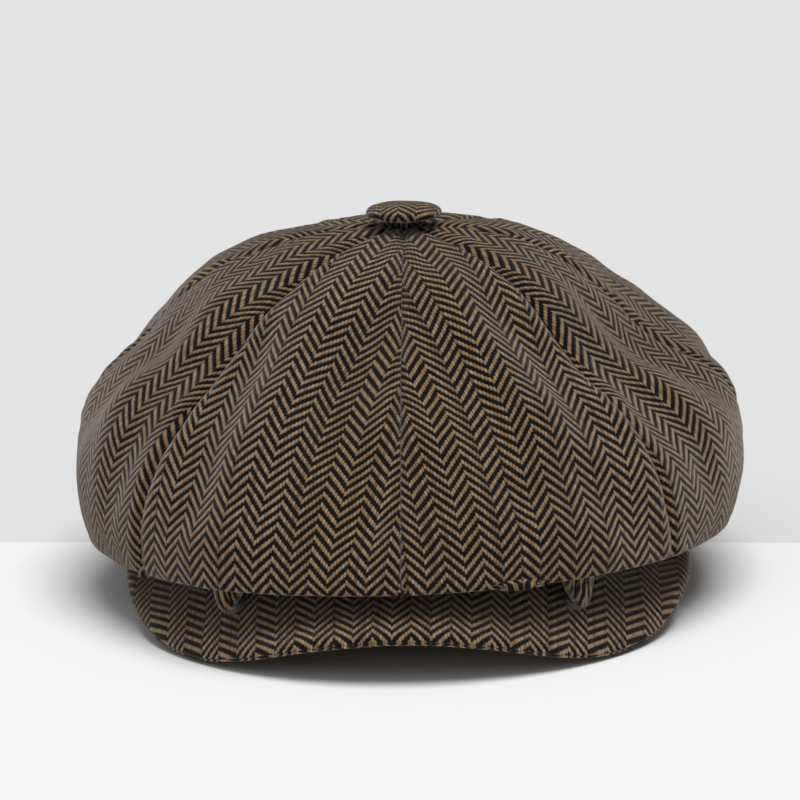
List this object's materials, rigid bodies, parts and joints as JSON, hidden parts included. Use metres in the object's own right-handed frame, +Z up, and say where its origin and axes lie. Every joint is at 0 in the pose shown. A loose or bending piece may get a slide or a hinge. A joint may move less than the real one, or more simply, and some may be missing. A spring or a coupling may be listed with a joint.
{
  "type": "newsboy cap",
  "caption": "Panelled tweed cap with a full round crown, a covered button, a stiff bowed peak under the crown's lip and press studs that join them.",
  "frame": {"origin": "on the surface that the cap stands on, under the button, at the middle of the cap's length and width", "axes": "+Z up, the cap faces -Y, the wearer's left is +X"},
  "size_m": [0.284, 0.291, 0.164],
  "materials": {
    "tweed": "herringbone wool tweed, tan and near-black",
    "lining": "satin lining",
    "sweatband": "ribbed cotton sweatband",
    "stiffener": "woven interlining",
    "board": "plain",
    "snap_metal": "satin",
    "button_metal": "satin"
  },
  "bodies": {
    "cap": {"band": "tweed", "band_stiffener": "stiffener", "sweatband": "sweatband", "crown_side_front_left": "tweed", "crown_side_front_right": "tweed", "crown_side_back_left": "tweed", "crown_side_back_right": "tweed", "crown_back_left": "tweed", "crown_back_right": "tweed", "lining_front": "lining", "lining_left": "lining", "lining_back": "lining", "lining_right": "lining", "button_cover": "tweed", "button_shell": "button_metal", "button_back": "button_metal", "button_fastener": "button_metal"},
    "crown_front": {"crown_front_left": "tweed", "crown_front_right": "tweed", "snap_sockets": "snap_metal", "snap_springs": "snap_metal"},
    "peak": {"peak_upper": "tweed", "peak_board": "board", "peak_under": "tweed", "snap_studs": "snap_metal"}
  },
  "joints": [
    {"name": "front_lift", "type": "hinge", "parent": "cap", "child": "crown_front", "pos_m": [0, -0.004, 0.155], "axis": [-1, 0, 0], "range_deg": [0, 7.5]},
    {"name": "peak_flex", "type": "hinge", "parent": "cap", "child": "peak", "pos_m": [0, -0.08, 0.02], "axis": [1, 0, 0], "range_deg": [0, 5], "stiffness_Nm_per_rad": 3}
  ]
}
